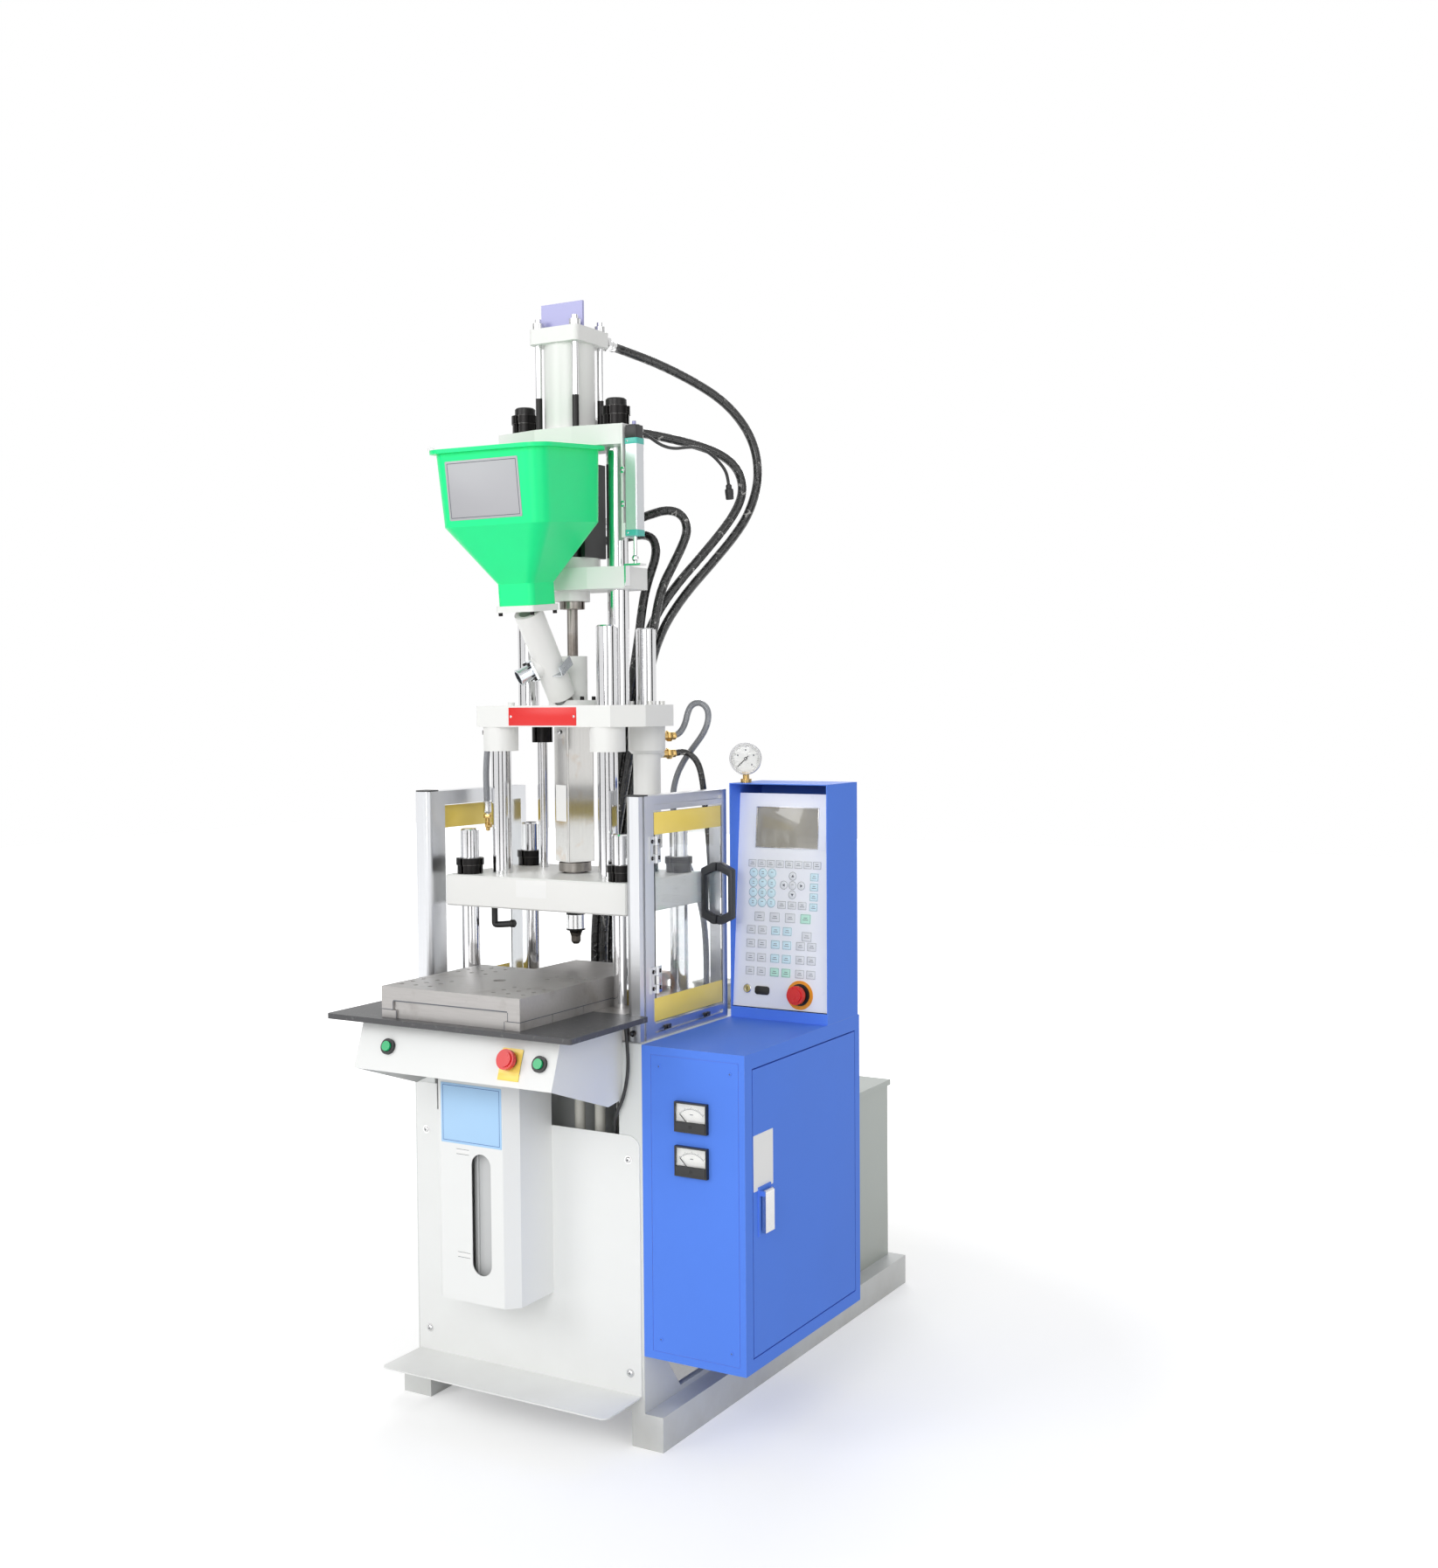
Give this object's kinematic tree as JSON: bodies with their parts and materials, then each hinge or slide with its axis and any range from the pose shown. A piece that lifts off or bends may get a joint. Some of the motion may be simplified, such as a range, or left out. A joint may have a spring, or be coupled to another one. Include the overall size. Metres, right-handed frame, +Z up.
{
  "type": "vertical injection moulding machine",
  "caption": "Vertical injection moulding machine with a sliding mould table, tie-bar clamp, hopper-fed injection unit, control cabinet and clear side guards.",
  "frame": {"origin": "centre of the footprint's bounding box, on the floor", "axes": "+X to the operator's right, +Y to the back, +Z up"},
  "size_m": [0.874, 1.444, 2.35],
  "materials": {
    "body_paint": "semi-gloss grey-white paint",
    "cover_paint": "fine textured white powder coat",
    "white_paint": "semi-gloss white paint",
    "tank_paint": "semi-gloss grey-green paint",
    "pump_paint": "semi-gloss cream paint",
    "blue_paint": "semi-gloss blue paint",
    "black_paint": "semi-gloss black paint",
    "dark_plate": "dark grey satin",
    "machined_steel": "ground, lightly stained",
    "nitrided_steel": "nitrided",
    "stainless_sheet": "polished sheet",
    "zinc_plate": "bright zinc plated",
    "black_oxide": "black oxide",
    "hard_chrome": "ground and chromed",
    "aluminium_profile": "natural anodised",
    "black_plastic": "moulded black",
    "green_plastic": "gloss green",
    "red_plastic": "gloss red",
    "keypad_film": "printed film overlay, left bare",
    "hopper_green": "smooth green moulding",
    "clear_sheet": "clear acrylic",
    "hose_rubber": "smooth black cover",
    "cable_sheath": "grey sheath"
  },
  "bodies": {
    "base": {"body_frame": "body_paint", "bed_plate": "machined_steel", "table_plate": "dark_plate", "rail_block": "machined_steel", "clamp_cylinder": "body_paint", "front_cover": "cover_paint", "clamp_cover": "cover_paint", "console": "cover_paint", "switch_sockets": "black_plastic", "oil_tank": "tank_paint", "power_pack": "pump_paint", "cabinet": "blue_paint", "mounting_panel": "zinc_plate", "instrument_cases": "black_plastic", "control_box": "blue_paint", "keypad_plate": "keypad_film", "guard_frames": "aluminium_profile", "left_guard_sheet": "clear_sheet", "console_cable": "cable_sheath"},
    "slide_table": {"slide_table": "machined_steel"},
    "clamp": {"platen": "white_paint", "tie_bars": "hard_chrome", "tie_bar_nuts": "black_oxide", "lower_beam": "machined_steel", "guide_posts": "hard_chrome"},
    "carriage": {"carriage_plate": "white_paint", "barrel": "nitrided_steel", "barrel_cover": "stainless_sheet", "feed_chute": "white_paint", "drain_spout": "zinc_plate", "hopper": "hopper_green", "injection_rods": "hard_chrome", "rod_nuts": "black_oxide", "upper_plate": "white_paint", "injection_cylinder": "white_paint", "transducer": "aluminium_profile", "hose_upper": "hose_rubber", "hose_lower": "hose_rubber", "transducer_cable": "cable_sheath", "seat_hose_high": "hose_rubber", "seat_hose_low": "hose_rubber", "cooling_hose": "cable_sheath"},
    "crosshead": {"crosshead": "white_paint", "hydraulic_motor": "black_paint", "crosshead_rods": "hard_chrome", "motor_hose_outer": "hose_rubber", "motor_hose_inner": "hose_rubber"},
    "screw": {"screw": "nitrided_steel"},
    "feed_gate": {"feed_gate": "zinc_plate"},
    "guard_door": {"guard_door_sheet": "clear_sheet", "guard_door_fittings": "black_plastic"},
    "cabinet_door": {"cabinet_door": "blue_paint"},
    "latch_lever": {"latch_lever": "zinc_plate"},
    "start_button_left": {"start_button_left": "green_plastic"},
    "start_button_right": {"start_button_right": "green_plastic"},
    "console_estop": {"console_estop": "red_plastic"},
    "panel_estop": {"panel_estop": "red_plastic"},
    "gauge_needle": {"gauge_needle": "black_paint"},
    "meter_needle_upper": {"meter_needle_upper": "black_paint"},
    "meter_needle_lower": {"meter_needle_lower": "black_paint"}
  },
  "joints": [
    {"name": "table_slide", "type": "slide", "parent": "base", "child": "slide_table", "axis": [0, 1, 0], "range_m": [0, 0.271]},
    {"name": "clamp_slide", "type": "slide", "parent": "base", "child": "clamp", "axis": [0, 0, 1], "range_m": [-0.036, 0.12]},
    {"name": "carriage_slide", "type": "slide", "parent": "clamp", "child": "carriage", "axis": [0, 0, 1], "range_m": [0, 0.06]},
    {"name": "crosshead_slide", "type": "slide", "parent": "carriage", "child": "crosshead", "axis": [0, 0, 1], "range_m": [-0.09, 0]},
    {"name": "screw_spin", "type": "hinge", "parent": "crosshead", "child": "screw", "pos_m": [-0.103, -0.267, 1.712], "axis": [0, 0, 1], "continuous": true},
    {"name": "gate_slide", "type": "slide", "parent": "carriage", "child": "feed_gate", "axis": [1, 0, 0], "range_m": [0, 0.034]},
    {"name": "guard_door_hinge", "type": "hinge", "parent": "base", "child": "guard_door", "pos_m": [0.1855, -0.396, 1.074], "axis": [0, 0, -1], "range_deg": [0, 100]},
    {"name": "cabinet_door_hinge", "type": "hinge", "parent": "base", "child": "cabinet_door", "pos_m": [0.417, 0.019, 0.503], "axis": [0, 0, 1], "range_deg": [0, 110]},
    {"name": "latch_lift", "type": "hinge", "parent": "cabinet_door", "child": "latch_lever", "pos_m": [0.432, -0.387, 0.54], "axis": [0, -1, 0], "range_deg": [0, 60]},
    {"name": "start_left_press", "type": "slide", "parent": "base", "child": "start_button_left", "axis": [0, 0.9417, -0.3363], "range_m": [0, 0.005], "stiffness_N_per_m": 600, "springref_m": -0.001},
    {"name": "start_right_press", "type": "slide", "parent": "base", "child": "start_button_right", "axis": [0, 0.9417, -0.3363], "range_m": [0, 0.005], "stiffness_N_per_m": 600, "springref_m": -0.001},
    {"name": "console_estop_press", "type": "slide", "parent": "base", "child": "console_estop", "axis": [0, 0.9417, -0.3363], "range_m": [0, 0.005], "stiffness_N_per_m": 900, "springref_m": -0.001},
    {"name": "panel_estop_press", "type": "slide", "parent": "base", "child": "panel_estop", "axis": [0, 0.9966, -0.0823], "range_m": [0, 0.005], "stiffness_N_per_m": 900, "springref_m": -0.001},
    {"name": "gauge_needle_turn", "type": "hinge", "parent": "base", "child": "gauge_needle", "pos_m": [0.209, -0.065, 1.38], "axis": [-0.4226, 0.9063, 0], "range_deg": [0, 270], "stiffness_Nm_per_rad": 0.002},
    {"name": "meter_needle_upper_turn", "type": "hinge", "parent": "base", "child": "meter_needle_upper", "pos_m": [0.305, -0.467, 0.668], "axis": [0, 1, 0], "range_deg": [0, 90], "stiffness_Nm_per_rad": 0.002},
    {"name": "meter_needle_lower_turn", "type": "hinge", "parent": "base", "child": "meter_needle_lower", "pos_m": [0.305, -0.467, 0.58], "axis": [0, 1, 0], "range_deg": [0, 90], "stiffness_Nm_per_rad": 0.002}
  ]
}
